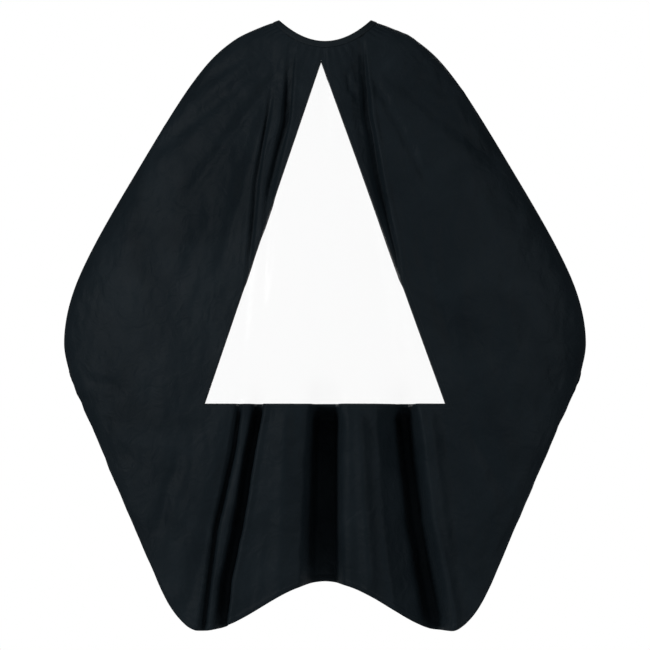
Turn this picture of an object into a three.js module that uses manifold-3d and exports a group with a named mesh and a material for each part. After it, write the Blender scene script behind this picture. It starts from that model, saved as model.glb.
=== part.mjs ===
// Barber cape with a clear viewing window, hanging from its neckband as it does when worn.
// Millimetres. +Z is up, the wearer faces -Y, and the origin is the middle of the neck opening.
import * as THREE from 'three';
import { mergeVertices } from 'three/addons/utils/BufferGeometryUtils.js';
import Module from 'manifold-3d';

const wasm = await Module();
wasm.setup();

// ---------------------------------------------------------------- driving sizes

const WIDTH = 1200;
const HEIGHT = 1400;
const HALF_WIDTH = WIDTH / 2;

// The neck opening is an ellipse seen from above, and dips at the front and the back.
const NECK_HALF_WIDTH = 104.6;
const NECK_HALF_DEPTH = 52;
const NECK_DIP = 48;

// How far the cloth stands forward and back at its hem.
const FRONT_DEPTH = 190;
const BACK_DEPTH = 130;

const CLOTH = 1.2;
const GAP = 0.3;
const BAND_HEIGHT = 16;
const SEAM_ALLOWANCE = 3.5;

// ---------------------------------------------------------------- outline of the hanging cape

// The side fold runs from the neck over the shoulder to the corner where the hems meet.
// Each point is a share of the half width and a share of the height.
const sideFold = new THREE.SplineCurve([
  [NECK_HALF_WIDTH / HALF_WIDTH, 0],
  [0.355, 0.0345],
  [0.512, 0.105],
  [0.742, 0.263],
  [0.898, 0.381],
  [0.975, 0.46],
  [1, 0.53],
  [0.975, 0.5857],
].map(([out, down]) => new THREE.Vector2(out * HALF_WIDTH, -down * HEIGHT)));

const NECK_CORNER = sideFold.getPoint(0);
const SIDE_CORNER = sideFold.getPoint(1);

// The front hem rises in the middle and hangs lowest at two rounded corners.
const LOBE_X = 288;
const HEM_RISE = 112;
const SIDE_HEM_SLOPE = 2.315;
const CORNER_ROUNDING = 115;

// The back opening is a short V below the closure.
const SLIT_LENGTH = 193;
const SLIT_PHI = THREE.MathUtils.degToRad(172);

// The snaps stand in a row along the wearer's left half of the neckband, from the back forward.
const FIRST_SNAP = 18;
const SNAP_PITCH = 16;
const STUDS = 5;
const SOCKETS = 2;
const LAST_STUD_MARGIN = 10;

function smoothMax(a, b, rounding) {
  const near = Math.max(rounding - Math.abs(a - b), 0) / rounding;
  return Math.max(a, b) + near * near * rounding / 4;
}

function frontHemHeight(x) {
  const across = Math.min(Math.abs(x) / LOBE_X, 1);
  const wave = -HEIGHT + HEM_RISE * (1 + Math.cos(Math.PI * across)) / 2;
  const sideHem = SIDE_CORNER.y - SIDE_HEM_SLOPE * (SIDE_CORNER.x - Math.abs(x));
  return smoothMax(wave, sideHem, CORNER_ROUNDING);
}

function backHemHeight(x) {
  const slitX = SIDE_CORNER.x * Math.sin(SLIT_PHI);
  const slitBottom = -NECK_DIP - SLIT_LENGTH;
  const across = (Math.abs(x) - slitX) / (SIDE_CORNER.x - slitX);
  return THREE.MathUtils.lerp(slitBottom, SIDE_CORNER.y, Math.max(across, 0));
}

// ---------------------------------------------------------------- the draped surface

// phi goes round the neck: 0 at the front, 90 degrees at the wearer's left (+X), 180 at the back.
function neckEdge(phi) {
  return new THREE.Vector3(
    NECK_HALF_WIDTH * Math.sin(phi),
    -NECK_HALF_DEPTH * Math.cos(phi),
    -NECK_DIP * Math.cos(phi) ** 2,
  );
}

// The angle round the neck at a distance along the band from the middle of the back towards +X.
function phiAlongBand(distance) {
  const step = 0.0005;
  let travelled = 0;
  let phi = Math.PI;
  while (travelled < Math.abs(distance)) {
    travelled += neckEdge(phi).distanceTo(neckEdge(phi - step));
    phi -= step;
  }
  return distance < 0 ? 2 * Math.PI - phi : phi;
}

// The back flaps swing on straight lines that leave the neck just in front of the last snap.
const HINGE_PHI = phiAlongBand(FIRST_SNAP + (STUDS - 1) * SNAP_PITCH + LAST_STUD_MARGIN);

function hemEdge(phi) {
  const x = SIDE_CORNER.x * Math.sin(phi);
  const atFront = Math.cos(phi) > 0;
  const depth = atFront ? FRONT_DEPTH : BACK_DEPTH;
  const height = atFront ? frontHemHeight(x) : backHemHeight(x);
  return new THREE.Vector3(x, -depth * Math.cos(phi), height);
}

// A rib is the line the cloth takes from the neck to the hem; v runs from 0 to 1 along it.
// At the sides it follows the side fold, and behind the hinge line it is straight.
function rib(phi, v) {
  const fold = sideFold.getPoint(v);
  const down = fold.y / SIDE_CORNER.y;
  const out = (fold.x - NECK_CORNER.x) / (SIDE_CORNER.x - NECK_CORNER.x);
  const forward = 1 - (1 - down) ** 3;
  const straight = THREE.MathUtils.smoothstep(Math.abs(phi), Math.PI / 2, HINGE_PHI);
  const start = neckEdge(phi);
  const end = hemEdge(phi);
  return new THREE.Vector3(
    THREE.MathUtils.lerp(start.x, end.x, THREE.MathUtils.lerp(out, down, straight)),
    THREE.MathUtils.lerp(start.y, end.y, THREE.MathUtils.lerp(forward, down, straight)),
    THREE.MathUtils.lerp(start.z, end.z, down),
  );
}

function outwardNormal(phi, v) {
  const step = 1e-4;
  const along = rib(phi, v + step).sub(rib(phi, Math.max(v - step, 0)));
  const around = rib(phi + step, v).sub(rib(phi - step, v));
  return along.cross(around).normalize();
}

function clothPoint(phi, v, lift) {
  return rib(phi, v).addScaledVector(outwardNormal(phi, v), lift);
}

// The place along a rib that lies a given distance of cloth below the neck edge.
function placeBelowNeck(phi, distance) {
  const step = 0.002;
  let left = distance;
  let v = 0;
  let stride = rib(phi, 0).distanceTo(rib(phi, step));
  while (left > stride) {
    left -= stride;
    v += step;
    stride = rib(phi, v).distanceTo(rib(phi, v + step));
  }
  return v + step * left / stride;
}

// ---------------------------------------------------------------- solids from the surface

function spread(from, to, steps) {
  return Array.from({ length: steps + 1 }, (_, i) => from + (to - from) * i / steps);
}

// A closed sheet over a grid of the draped surface, between an inner and an outer lift.
// places(phi) lists the places down each rib, and raise(phi) lifts the whole sheet off.
function layer(phis, places, inner, outer, raise = () => 0) {
  const rows = places(phis[0]).length;
  const points = [];
  for (const lift of [outer, inner]) {
    for (const phi of phis) {
      for (const v of places(phi)) {
        points.push(clothPoint(phi, v, lift + raise(phi)));
      }
    }
  }
  const at = (side, column, row) => (side * phis.length + column) * rows + row;
  const faces = [];
  const quad = (a, b, c, d) => faces.push(a, b, c, a, c, d);
  for (let column = 0; column + 1 < phis.length; column += 1) {
    for (let row = 0; row + 1 < rows; row += 1) {
      quad(at(0, column, row), at(0, column, row + 1),
        at(0, column + 1, row + 1), at(0, column + 1, row));
      quad(at(1, column, row), at(1, column + 1, row),
        at(1, column + 1, row + 1), at(1, column, row + 1));
    }
    const last = rows - 1;
    quad(at(0, column, 0), at(0, column + 1, 0), at(1, column + 1, 0), at(1, column, 0));
    quad(at(0, column, last), at(1, column, last),
      at(1, column + 1, last), at(0, column + 1, last));
  }
  for (let row = 0; row + 1 < rows; row += 1) {
    const last = phis.length - 1;
    quad(at(0, 0, row), at(1, 0, row), at(1, 0, row + 1), at(0, 0, row + 1));
    quad(at(0, last, row), at(0, last, row + 1), at(1, last, row + 1), at(1, last, row));
  }
  const geometry = new THREE.BufferGeometry();
  geometry.setAttribute('position', new THREE.Float32BufferAttribute(points.flatMap((p) => p.toArray()), 3));
  geometry.setIndex(faces);
  return geometry;
}

function toManifold(geometry) {
  const bare = new THREE.BufferGeometry();
  bare.setAttribute('position', geometry.getAttribute('position'));
  bare.setIndex(geometry.getIndex());
  const merged = mergeVertices(bare, 1e-5);
  return new wasm.Manifold(new wasm.Mesh({
    numProp: 3,
    vertProperties: Float32Array.from(merged.getAttribute('position').array),
    triVerts: Uint32Array.from(merged.getIndex().array),
  }));
}

function toGeometry(manifold) {
  const mesh = manifold.getMesh();
  const geometry = new THREE.BufferGeometry();
  geometry.setAttribute('position', new THREE.BufferAttribute(mesh.vertProperties, mesh.numProp));
  geometry.setIndex(new THREE.BufferAttribute(mesh.triVerts, 1));
  return geometry;
}

function cut(geometry, cutters) {
  const left = cutters.reduce((rest, cutter) => rest.subtract(toManifold(cutter)), toManifold(geometry));
  return toGeometry(left);
}

function keepInside(geometry, mould) {
  return toGeometry(toManifold(geometry).intersect(toManifold(mould)));
}

// ---------------------------------------------------------------- materials

function material(colour, roughness, metalness = 0) {
  return new THREE.MeshStandardMaterial({ color: colour, roughness, metalness });
}

const nylon = material('#181e22', 0.55);
const tapeCloth = material('#14181c', 0.7);
const clearFilm = material('#f4f7f8', 0.1);
const gripRubber = material('#1c1c1e', 0.85);
const felt = material('#d8d5cc', 0.9);
const snapMetal = material('#2a2c2f', 0.3, 0.9);
const brightMetal = material('#b9bcc0', 0.25, 1);
const labelCloth = material('#e9e7e1', 0.8);

const cape = new THREE.Group();
cape.name = 'barber_cape';

function add(name, geometry, finish) {
  const mesh = new THREE.Mesh(geometry, finish.clone());
  mesh.name = name;
  cape.add(mesh);
  return mesh;
}

// ---------------------------------------------------------------- the window

const WINDOW_TOP = -92;
const WINDOW_HEIGHT = 789;
const WINDOW_WIDTH = 554;
const WINDOW_BOTTOM = WINDOW_TOP - WINDOW_HEIGHT;
const WINDOW_SLANT = WINDOW_WIDTH / 2 / WINDOW_HEIGHT;
const FILM_OVERLAP = 10;
const TAPE_OVERLAP = 12;
const TAPE_CLEARANCE = 0.5;

// The tip of the window lies a little towards the wearer's right of the middle.
const WINDOW_TIP_ASIDE = 9;
const WINDOW_LEAN = WINDOW_TIP_ASIDE / WINDOW_HEIGHT;

// Half the width of the window at a height, when its slanting edges are moved out by a margin.
function windowHalfWidth(height, margin) {
  return WINDOW_SLANT * (WINDOW_TOP - height) + margin * Math.hypot(1, WINDOW_SLANT);
}

// The window's outline with all its edges moved out by a margin, and its tip cut off level.
function windowOutline(margin) {
  const top = WINDOW_TOP + margin;
  const bottom = WINDOW_BOTTOM - margin;
  const halfTop = windowHalfWidth(top, margin);
  const halfBottom = windowHalfWidth(bottom, margin);
  return [
    new THREE.Vector2(-halfTop, top),
    new THREE.Vector2(-halfBottom, bottom),
    new THREE.Vector2(halfBottom, bottom),
    new THREE.Vector2(halfTop, top),
  ];
}

// A prism through the front of the cape, from corners given as if the window stood straight.
function windowPrism(corners) {
  const leaning = corners.map(({ x, y }) => new THREE.Vector2(x - WINDOW_LEAN * (y - WINDOW_BOTTOM), y));
  const depth = 2 * FRONT_DEPTH;
  return new THREE.ExtrudeGeometry(new THREE.Shape(leaning), { depth, bevelEnabled: false })
    .rotateX(Math.PI / 2);
}

const CLOTH_ROWS = 12;
const COLUMN = THREE.MathUtils.degToRad(5);
const WINDOW_COLUMNS = 8;

// Places down a rib for the cloth, which starts inside the neckband and ends at the hem.
function clothPlaces(phi) {
  const start = placeBelowNeck(phi, BAND_HEIGHT - SEAM_ALLOWANCE);
  const underBand = placeBelowNeck(phi, BAND_HEIGHT + 1);
  return [start, ...spread(underBand, 1, CLOTH_ROWS)];
}

function windowPatch(inner, outer) {
  const reach = WINDOW_COLUMNS * COLUMN;
  return layer(spread(-reach, reach, 2 * WINDOW_COLUMNS), clothPlaces, inner, outer);
}

function addWindow() {
  const filmOuter = -CLOTH / 2 - GAP;
  const filmInner = filmOuter - 0.5;
  const tapeOuter = filmInner - GAP;
  const tapeInner = tapeOuter - 1;

  add('window_film', keepInside(
    windowPatch(filmInner, filmOuter),
    windowPrism(windowOutline(FILM_OVERLAP)),
  ), clearFilm);

  // The tapes meet at the tip of the window and in mitres at its lower corners.
  const tapeSheet = windowPatch(tapeInner, tapeOuter);
  const [outerTop, outerCorner] = windowOutline(TAPE_OVERLAP);
  const [, innerCorner] = windowOutline(0);
  const rightStrip = [
    new THREE.Vector2(-TAPE_CLEARANCE, outerTop.y),
    outerTop,
    new THREE.Vector2(outerCorner.x, outerCorner.y + 2 * TAPE_CLEARANCE),
    new THREE.Vector2(innerCorner.x, innerCorner.y + 2 * TAPE_CLEARANCE),
    new THREE.Vector2(-TAPE_CLEARANCE, WINDOW_TOP - TAPE_CLEARANCE / WINDOW_SLANT),
  ];
  const across = (outline) => outline.map(({ x, y }) => new THREE.Vector2(-x, y));
  const lowerHalf = [outerCorner, innerCorner];
  const bottomStrip = [...lowerHalf, ...across(lowerHalf).reverse()];
  add('window_tape_left', keepInside(tapeSheet, windowPrism(across(rightStrip))), tapeCloth);
  add('window_tape_right', keepInside(tapeSheet, windowPrism(rightStrip)), tapeCloth);
  add('window_tape_bottom', keepInside(tapeSheet, windowPrism(bottomStrip)), tapeCloth);
}

// ---------------------------------------------------------------- the cloth

// The cloth is one piece. It is laid out as panels, so that each is a simple shell, and
// they part at these angles: beside the window, over the shoulder and along the side fold.
const SEAM_CLEARANCE = THREE.MathUtils.degToRad(0.1);
const WINDOW_PHI = WINDOW_COLUMNS * COLUMN;
const SHOULDER_PHI = THREE.MathUtils.degToRad(65);
const SIDE_PHI = Math.PI / 2;

// The angles of a panel's columns between its seams, its two edges drawn back a little.
function panelColumns(seams) {
  const first = seams[0];
  const last = seams[seams.length - 1];
  const columns = seams.slice(1).flatMap((to, i) => {
    const from = seams[i];
    return spread(from, to, Math.max(Math.round((to - from) / COLUMN), 1)).slice(1);
  });
  return [first, ...columns]
    .map((phi) => THREE.MathUtils.clamp(phi, first + SEAM_CLEARANCE, last - SEAM_CLEARANCE));
}

const mirrored = (phis) => phis.map((phi) => -phi).reverse();
const leftSeams = [WINDOW_PHI, SHOULDER_PHI, SIDE_PHI, HINGE_PHI];
const leftColumns = panelColumns([HINGE_PHI, SLIT_PHI]);
const rightColumns = mirrored(leftColumns);
const frontColumns = panelColumns([...mirrored(leftSeams), ...leftSeams]);

function clothSheet(columns) {
  return layer(columns, clothPlaces, -CLOTH / 2, CLOTH / 2);
}

// The middle of the front: a panel on each side of the window and one below it.
function addFrontPanels() {
  const sheet = clothSheet(panelColumns([-WINDOW_PHI, WINDOW_PHI]));
  const level = WINDOW_BOTTOM + GAP / 2;
  const middle = GAP / 2;
  const box = (left, right, bottom, top) => windowPrism([
    new THREE.Vector2(left, bottom),
    new THREE.Vector2(right, bottom),
    new THREE.Vector2(right, top),
    new THREE.Vector2(left, top),
  ]);
  const upper = cut(sheet, [windowPrism(windowOutline(0))]);
  add('front_panel_left', keepInside(upper, box(middle, HALF_WIDTH, level, HEIGHT)), nylon);
  add('front_panel_right', keepInside(upper, box(-HALF_WIDTH, -middle, level, HEIGHT)), nylon);
  add('front_panel_lower', keepInside(sheet, box(-HALF_WIDTH, HALF_WIDTH, -2 * HEIGHT, level - GAP)), nylon);
}

function addCloth() {
  addFrontPanels();
  const panels = {
    shoulder_panel: panelColumns([WINDOW_PHI, SHOULDER_PHI]),
    side_panel: panelColumns([SHOULDER_PHI, SIDE_PHI]),
    back_panel: panelColumns([SIDE_PHI, HINGE_PHI]),
    back_flap: leftColumns,
  };
  for (const [name, columns] of Object.entries(panels)) {
    add(`${name}_left`, clothSheet(columns), nylon);
    add(`${name}_right`, clothSheet(mirrored(columns)), nylon);
  }
}

// ---------------------------------------------------------------- the neckband

// Distances outwards from the middle of the cloth.
const BAND_FACE = 1;
const OUTER_BAND = [CLOTH / 2 + GAP, CLOTH / 2 + GAP + BAND_FACE];
const GRIP_BAND = [-CLOTH / 2 - GAP - BAND_FACE, -CLOTH / 2 - GAP];

// The distance along the neck edge from the middle of the back to an angle on the +X side.
function bandDistance(phi) {
  const steps = 60;
  const angles = spread(Math.PI, phi, steps);
  let distance = 0;
  for (let i = 0; i < steps; i += 1) {
    distance += neckEdge(angles[i]).distanceTo(neckEdge(angles[i + 1]));
  }
  return distance;
}

// The closure tab steps outwards over this length, clear of the end of the left half.
const TAB_STEP = 9;

const LEFT_END = phiAlongBand(TAB_STEP + 0.5);
const RIGHT_END = -phiAlongBand(GAP / 2);
const SNAP_DOWN = 7.6;
const HOLE_RADIUS = 1.6;
const HOLE_SIDES = 10;
const SNAP_SIDES = 12;

function bandPlaces(fromTop, toBottom) {
  return (phi) => [placeBelowNeck(phi, fromTop), placeBelowNeck(phi, toBottom)];
}

// A place on the band for a snap: its middle, with the outward normal as the local Y axis.
function snapPlace(distance, lift) {
  const phi = phiAlongBand(distance);
  const v = placeBelowNeck(phi, SNAP_DOWN);
  const outward = outwardNormal(phi, v);
  const across = rib(phi - 0.01, v).sub(rib(phi + 0.01, v)).normalize();
  const third = new THREE.Vector3().crossVectors(across, outward).normalize();
  return new THREE.Matrix4()
    .makeBasis(across, outward, third)
    .setPosition(clothPoint(phi, v, lift));
}

function snapHole(distance, lift, radius, depth) {
  return new THREE.CylinderGeometry(radius, radius, depth, HOLE_SIDES)
    .applyMatrix4(snapPlace(distance, lift));
}

const studPlaces = spread(FIRST_SNAP, FIRST_SNAP + (STUDS - 1) * SNAP_PITCH, STUDS - 1);
const socketPlaces = studPlaces.slice(0, SOCKETS);
const POST_HEAD_RADIUS = 3.2;
const POST_HOLE_RADIUS = POST_HEAD_RADIUS + 0.5;
const CUT_DEPTH = 8;

function addNeckband() {
  const stretches = {
    front: frontColumns,
    left: [...leftColumns, LEFT_END],
    right: [RIGHT_END, ...rightColumns],
  };
  const wholeHeight = bandPlaces(0, BAND_HEIGHT);
  const aboveSeam = bandPlaces(0.6, BAND_HEIGHT - SEAM_ALLOWANCE - GAP);
  const pierce = (geometry, radius) => cut(
    geometry,
    studPlaces.map((distance) => snapHole(distance, 0, radius, CUT_DEPTH)),
  );
  for (const [side, phis] of Object.entries(stretches)) {
    const hasStuds = side === 'left';
    const outer = layer(phis, wholeHeight, ...OUTER_BAND);
    const stiffening = layer(phis, aboveSeam, -CLOTH / 2, CLOTH / 2);
    add(`neckband_outer_${side}`, hasStuds ? pierce(outer, HOLE_RADIUS) : outer, nylon);
    add(`neckband_stiffener_${side}`, hasStuds ? pierce(stiffening, POST_HOLE_RADIUS) : stiffening, felt);
    add(`neckband_grip_${side}`, layer(phis, wholeHeight, ...GRIP_BAND), gripRubber);
  }
}

// ---------------------------------------------------------------- the closure

const TAB_LENGTH = 46;
const TAB_RAISE = 6.4;
const SNAP_GAP = 0.35;
const STUD_PLATE = 0.8;

function tabRaise(phi) {
  const distance = bandDistance(phi);
  return TAB_RAISE * THREE.MathUtils.smoothstep(distance, 0.5, TAB_STEP - 0.5);
}

function addTab() {
  const stepPlaces = spread(GAP / 2, TAB_STEP, 6);
  const flatPlaces = spread(TAB_STEP, TAB_LENGTH, 9).slice(1);
  const phis = [...stepPlaces, ...flatPlaces].map(phiAlongBand).reverse();
  const holes = socketPlaces.map((distance) => snapHole(distance, TAB_RAISE, HOLE_RADIUS, CUT_DEPTH));
  const wholeHeight = bandPlaces(0, BAND_HEIGHT);
  add('snap_tab_outer', cut(layer(phis, wholeHeight, ...OUTER_BAND, tabRaise), holes), nylon);
  add('snap_tab_lining', cut(layer(phis, wholeHeight, -CLOTH / 2, CLOTH / 2, tabRaise), holes), nylon);
}

// Lathe profiles are drawn outwards from the axis, with Y pointing away from the neck.
function turned(profile, matrix) {
  const points = profile.map(([radius, height]) => new THREE.Vector2(radius, height));
  return new THREE.LatheGeometry(points, SNAP_SIDES).applyMatrix4(matrix);
}

function addSnaps() {
  const plateRadius = 5;
  const nubRadius = 1.9;
  const nubHeight = 1.6;
  const shankRadius = 1.2;
  const studLift = OUTER_BAND[1] + SNAP_GAP;
  studPlaces.forEach((distance, index) => {
    add(`snap_stud_${index + 1}`, turned([
      [0, 0],
      [plateRadius, 0],
      [plateRadius - 0.3, STUD_PLATE],
      [nubRadius, STUD_PLATE],
      [nubRadius + 0.2, STUD_PLATE + 0.6 * nubHeight],
      [nubRadius - 0.4, STUD_PLATE + nubHeight],
      [0, STUD_PLATE + nubHeight],
    ], snapPlace(distance, studLift)), snapMetal);

    // The post's head is buried in the stiffener and its shank reaches the stud.
    const headBottom = -CLOTH / 2 + 0.1;
    const headHeight = 0.8;
    const shankTop = studLift - headBottom - 0.05;
    add(`snap_post_${index + 1}`, turned([
      [0, 0],
      [POST_HEAD_RADIUS, 0],
      [POST_HEAD_RADIUS, headHeight],
      [shankRadius, headHeight],
      [shankRadius, shankTop],
      [0, shankTop],
    ], snapPlace(distance, headBottom)), brightMetal);
  });

  const socketRadius = 5.2;
  const recessRadius = nubRadius + 0.6;
  const socketLift = studLift + STUD_PLATE + GAP;
  const socketTop = TAB_RAISE - CLOTH / 2 - SNAP_GAP - socketLift;
  const recessDepth = nubHeight - GAP + 0.25;
  const capLift = TAB_RAISE + OUTER_BAND[1] + SNAP_GAP;
  socketPlaces.forEach((distance, index) => {
    add(`snap_socket_${index + 1}`, turned([
      [recessRadius, 0],
      [socketRadius - 0.4, 0],
      [socketRadius, 0.4],
      [socketRadius, socketTop],
      [HOLE_RADIUS, socketTop],
      [HOLE_RADIUS, recessDepth],
      [recessRadius, recessDepth],
      [recessRadius, 0],
    ], snapPlace(distance, socketLift)), snapMetal);

    // The cap is domed outside, and its shank runs through the tab into the socket.
    const capRadius = 6;
    const domeHeight = 1.5;
    const shankBottom = socketLift + recessDepth + 0.2 - capLift;
    add(`snap_cap_${index + 1}`, turned([
      [0, shankBottom],
      [shankRadius, shankBottom],
      [shankRadius, 0],
      [capRadius, 0],
      [capRadius, 0.4 * domeHeight],
      [0.75 * capRadius, 0.8 * domeHeight],
      [0.4 * capRadius, domeHeight],
      [0, domeHeight],
    ], snapPlace(distance, capLift)), snapMetal);
  });
}

// ---------------------------------------------------------------- the care label

// A blank label hangs inside the right flap, its upper end caught in the neckband seam.
function addLabel() {
  const outer = -CLOTH / 2 - GAP;
  const phis = spread(-THREE.MathUtils.degToRad(152), -THREE.MathUtils.degToRad(138), 4);
  const top = BAND_HEIGHT + 0.4;
  const places = (phi) => spread(top, top + 45, 3).map((distance) => placeBelowNeck(phi, distance));
  add('care_label', layer(phis, places, outer - 0.4, outer), labelCloth);
}

addCloth();
addWindow();
addNeckband();
addTab();
addSnaps();
addLabel();

export default cape;
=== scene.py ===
# %% [markdown]
# # A barber cape, made in Blender around its CAD frame
# A salon cape is one large cut of thin nylon with a hole for the neck. This one has a clear
# window in front and opens behind. The CAD model gives every size and every moving body.
# Here we give the cloth its folds, hems, stitches and finish. Lengths are in metres, +Z is
# up, and the wearer faces -Y.

# %% Load the frame
import math

import bmesh
import bpy
import numpy as np
from mathutils import Matrix, Vector, noise


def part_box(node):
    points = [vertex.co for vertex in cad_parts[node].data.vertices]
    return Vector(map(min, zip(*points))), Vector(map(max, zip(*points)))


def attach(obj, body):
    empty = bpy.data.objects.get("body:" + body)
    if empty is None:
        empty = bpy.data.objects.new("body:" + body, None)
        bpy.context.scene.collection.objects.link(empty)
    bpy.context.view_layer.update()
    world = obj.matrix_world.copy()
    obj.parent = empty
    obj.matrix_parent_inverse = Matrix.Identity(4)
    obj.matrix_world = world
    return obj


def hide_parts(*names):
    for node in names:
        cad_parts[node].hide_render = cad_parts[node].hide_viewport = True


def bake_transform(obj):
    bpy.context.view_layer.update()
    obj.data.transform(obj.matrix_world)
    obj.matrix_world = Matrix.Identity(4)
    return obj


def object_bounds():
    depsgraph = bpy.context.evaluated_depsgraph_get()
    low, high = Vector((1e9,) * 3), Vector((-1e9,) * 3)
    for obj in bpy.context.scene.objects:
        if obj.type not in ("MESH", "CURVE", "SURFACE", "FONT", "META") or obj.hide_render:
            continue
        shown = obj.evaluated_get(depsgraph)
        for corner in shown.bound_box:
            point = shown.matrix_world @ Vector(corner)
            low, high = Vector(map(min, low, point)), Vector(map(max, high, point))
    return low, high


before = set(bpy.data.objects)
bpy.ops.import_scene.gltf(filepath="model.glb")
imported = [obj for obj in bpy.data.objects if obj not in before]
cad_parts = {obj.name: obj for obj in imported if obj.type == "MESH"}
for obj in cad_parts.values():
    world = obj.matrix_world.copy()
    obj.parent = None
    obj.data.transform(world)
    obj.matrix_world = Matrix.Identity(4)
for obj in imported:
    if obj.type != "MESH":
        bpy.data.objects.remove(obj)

CAD_LOW, CAD_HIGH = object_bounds()
print("CAD box", [round(v, 3) for v in CAD_LOW], [round(v, 3) for v in CAD_HIGH])

# %% [markdown]
# ## The camera and the light
# The camera comes first, because it decides which creases matter. A person looks at a cape
# on a stand from the front, so the camera stands straight ahead at the middle of its height.
# A very long lens keeps the sides of the cloth parallel, as in a catalogue.

# %% Camera
VIEW_SIZE = 1.495
CAMERA_DISTANCE = 30.0
SENSOR_WIDTH = 36.0
VIEW_HEIGHT = -0.700


def add_camera():
    data = bpy.data.cameras.new("camera")
    data.sensor_width = SENSOR_WIDTH
    data.lens = SENSOR_WIDTH * CAMERA_DISTANCE / VIEW_SIZE
    data.clip_end = 3 * CAMERA_DISTANCE
    camera = bpy.data.objects.new("camera", data)
    camera.location = (0, -CAMERA_DISTANCE, VIEW_HEIGHT)
    camera.rotation_euler = (math.pi / 2, 0, 0)
    bpy.context.scene.collection.objects.link(camera)
    bpy.context.scene.camera = camera
    return camera


camera = add_camera()
print("lens", round(camera.data.lens), "mm at", CAMERA_DISTANCE, "m")

# %% [markdown]
# Black cloth shows its shape only where light grazes it. Two tall soft boxes at the sides,
# the left one stronger, leave the deep folds dark and give each roll of the cloth a paler
# and a darker side. A weak fill from above keeps the rest from going flat.
# The world is white to the camera, and much darker to the cloth, so that the black
# doesn't turn grey.

# %% Light
LIGHTS = {
    # name: (place, size across, size up, power)
    "left_soft_box": ((-3.0, -3.1, 0.7), 1.6, 2.6, 96.0),
    "right_soft_box": ((3.2, -3.0, 0.5), 1.6, 2.6, 46.0),
    "top_fill": ((0.0, -2.2, 3.2), 2.4, 1.4, 18.0),
    "back_light": ((0.4, 3.4, 1.6), 2.4, 2.0, 40.0),
}
WORLD_FILL = 0.07


def add_light(name, place, across, up, power):
    data = bpy.data.lights.new(name, "AREA")
    data.shape = "RECTANGLE"
    data.size = across
    data.size_y = up
    data.energy = power
    light = bpy.data.objects.new(name, data)
    light.location = place
    aim = Vector((0, 0, VIEW_HEIGHT)) - light.location
    light.rotation_euler = aim.to_track_quat("-Z", "Y").to_euler()
    bpy.context.scene.collection.objects.link(light)


for name, (place, across, up, power) in LIGHTS.items():
    add_light(name, place, across, up, power)


def add_world():
    world = bpy.data.worlds.new("studio")
    world.use_nodes = True
    nodes, links = world.node_tree.nodes, world.node_tree.links
    background = nodes["Background"]
    background.inputs["Color"].default_value = (1, 1, 1, 1)
    path = nodes.new("ShaderNodeLightPath")
    strength = nodes.new("ShaderNodeMapRange")
    strength.inputs["To Min"].default_value = WORLD_FILL
    strength.inputs["To Max"].default_value = 1.0
    links.new(path.outputs["Is Camera Ray"], strength.inputs["Value"])
    links.new(strength.outputs["Result"], background.inputs["Strength"])
    bpy.context.scene.world = world


add_world()
bpy.context.scene.view_settings.view_transform = "Standard"

# %% [markdown]
# The floor is a plain pale sheet well below the hem.

# %% Floor
FLOOR_DROP = 0.12
FLOOR_SIDE = 3.0


def add_floor():
    bpy.ops.mesh.primitive_plane_add(size=FLOOR_SIDE, location=(0, 0, CAD_LOW.z - FLOOR_DROP))
    floor = bpy.context.object
    floor.name = "floor"
    material = bpy.data.materials.new("floor_paint")
    material.use_nodes = True
    shader = material.node_tree.nodes["Principled BSDF"]
    shader.inputs["Base Color"].default_value = (0.86, 0.86, 0.85, 1)
    shader.inputs["Roughness"].default_value = 0.9
    shader.inputs["Emission Color"].default_value = (1, 1, 1, 1)
    shader.inputs["Emission Strength"].default_value = 0.10
    floor.data.materials.append(material)


add_floor()

# %% [markdown]
# ## The shape that all the cloth shares
# We could model each panel by hand and hope that they meet. It is safer to describe the
# draped cape once, as a surface with two addresses. `phi` goes round the neck, 0 at the
# front, and `v` goes down from the neck to the hem. Every cloth piece, strip and stitch
# asks this one surface where it is, so they all touch. It is the surface of the CAD model.

# %% Sizes
HALF_CLOTH = 0.0006
HALF_WIDTH = CAD_HIGH.x - HALF_CLOTH
HEIGHT = 1.400
NECK_HALF_WIDTH = 0.1046
NECK_HALF_DEPTH = 0.052
NECK_DIP = 0.048
FRONT_DEPTH = 0.190
BACK_DEPTH = 0.130
BAND_HEIGHT = 0.016
SEAM_ALLOWANCE = 0.0035

LOBE_X = 0.288
HEM_RISE = 0.112
SIDE_HEM_SLOPE = 2.315
CORNER_ROUNDING = 0.115
SLIT_LENGTH = 0.193
SLIT_PHI = math.radians(172)

# The side fold, as shares of the half width and the height: over the shoulder, out to the
# arm and in again to the corner of the hem.
SIDE_FOLD = np.array([
    (NECK_HALF_WIDTH / HALF_WIDTH, 0),
    (0.355, 0.0345),
    (0.512, 0.105),
    (0.742, 0.263),
    (0.898, 0.381),
    (0.975, 0.46),
    (1, 0.53),
    (0.975, 0.5857),
]) * (HALF_WIDTH, -HEIGHT)


def smoothstep(value, low, high):
    share = np.clip((value - low) / (high - low), 0, 1)
    return share * share * (3 - 2 * share)


def mix(a, b, share):
    return a + (b - a) * share


def side_fold(v):
    """A smooth line through the points of SIDE_FOLD, with v from 0 to 1 along it."""
    last = len(SIDE_FOLD) - 1
    place = np.clip(np.asarray(v, float), 0, 1) * last
    first = np.minimum(place.astype(int), last - 1)
    t = (place - first)[..., None]
    before, start, end, after = (
        SIDE_FOLD[np.clip(first + step, 0, last)] for step in (-1, 0, 1, 2)
    )
    start_slope = (end - before) / 2
    end_slope = (after - start) / 2
    cubic = 2 * start - 2 * end + start_slope + end_slope
    square = -3 * start + 3 * end - 2 * start_slope - end_slope
    return cubic * t**3 + square * t**2 + start_slope * t + start


SIDE_CORNER_X, SIDE_CORNER_Z = SIDE_FOLD[-1]


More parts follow.
